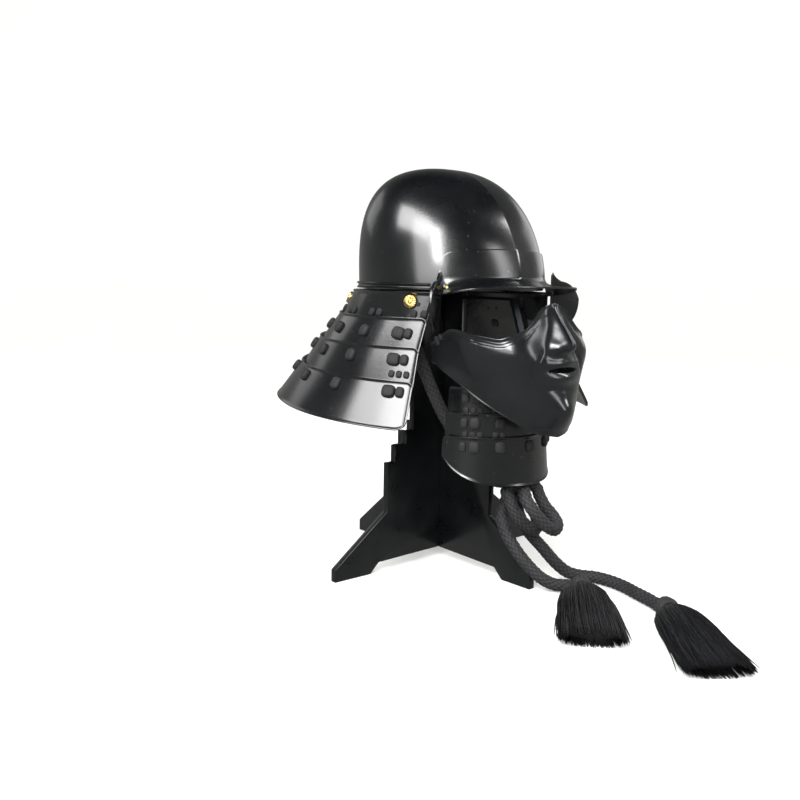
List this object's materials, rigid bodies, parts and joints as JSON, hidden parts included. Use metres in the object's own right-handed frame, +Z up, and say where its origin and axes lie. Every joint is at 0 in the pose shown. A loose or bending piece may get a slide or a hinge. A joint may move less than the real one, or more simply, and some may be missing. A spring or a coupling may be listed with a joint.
{
  "type": "samurai helmet with face mask on display stand",
  "caption": "Black lacquered samurai helmet with flared laced neck guard, calm half face mask, throat guard and tasselled cord, on a crossed-board display stand.",
  "frame": {"origin": "on the table, under the middle of the object without its cords", "axes": "+Z up, -Y the way the helmet faces, -X the wearer's right"},
  "size_m": [0.3676, 0.6145, 0.452],
  "materials": {
    "black_lacquer": "gloss black lacquer",
    "mask_lacquer": "semi-gloss graphite black lacquer",
    "gilt_brass": "gilt, polished",
    "silk_cord": "braided black silk",
    "silk_hair": "loose shiny black silk threads",
    "stand_lacquer": "black lacquered boards",
    "steel_strip": "blackened steel"
  },
  "bodies": {
    "root": {"bowl": "black_lacquer", "rim_band": "black_lacquer", "visor": "black_lacquer", "turn_back_right": "black_lacquer", "turn_back_left": "black_lacquer", "neck_lame_1": "black_lacquer", "neck_lame_2": "black_lacquer", "neck_lame_3": "black_lacquer", "neck_lame_4": "black_lacquer", "throat_lame_1": "black_lacquer", "throat_lame_2": "black_lacquer", "throat_lame_3": "black_lacquer", "rosette_1": "gilt_brass", "rosette_2": "gilt_brass", "rosette_3": "gilt_brass", "rosette_4": "gilt_brass", "face_mask": "mask_lacquer", "mask_hanger": "steel_strip", "stand_cross_board": "stand_lacquer", "stand_long_board": "stand_lacquer", "chin_cord": "silk_cord", "cord_knot": "silk_cord", "cord_loop_1": "silk_cord", "cord_loop_2": "silk_cord", "cord_tail_1": "silk_cord", "cord_tail_2": "silk_cord", "tassel_collar_1": "silk_cord", "tassel_collar_2": "silk_cord", "tassel_1": "silk_hair", "tassel_2": "silk_hair"}
  },
  "joints": []
}
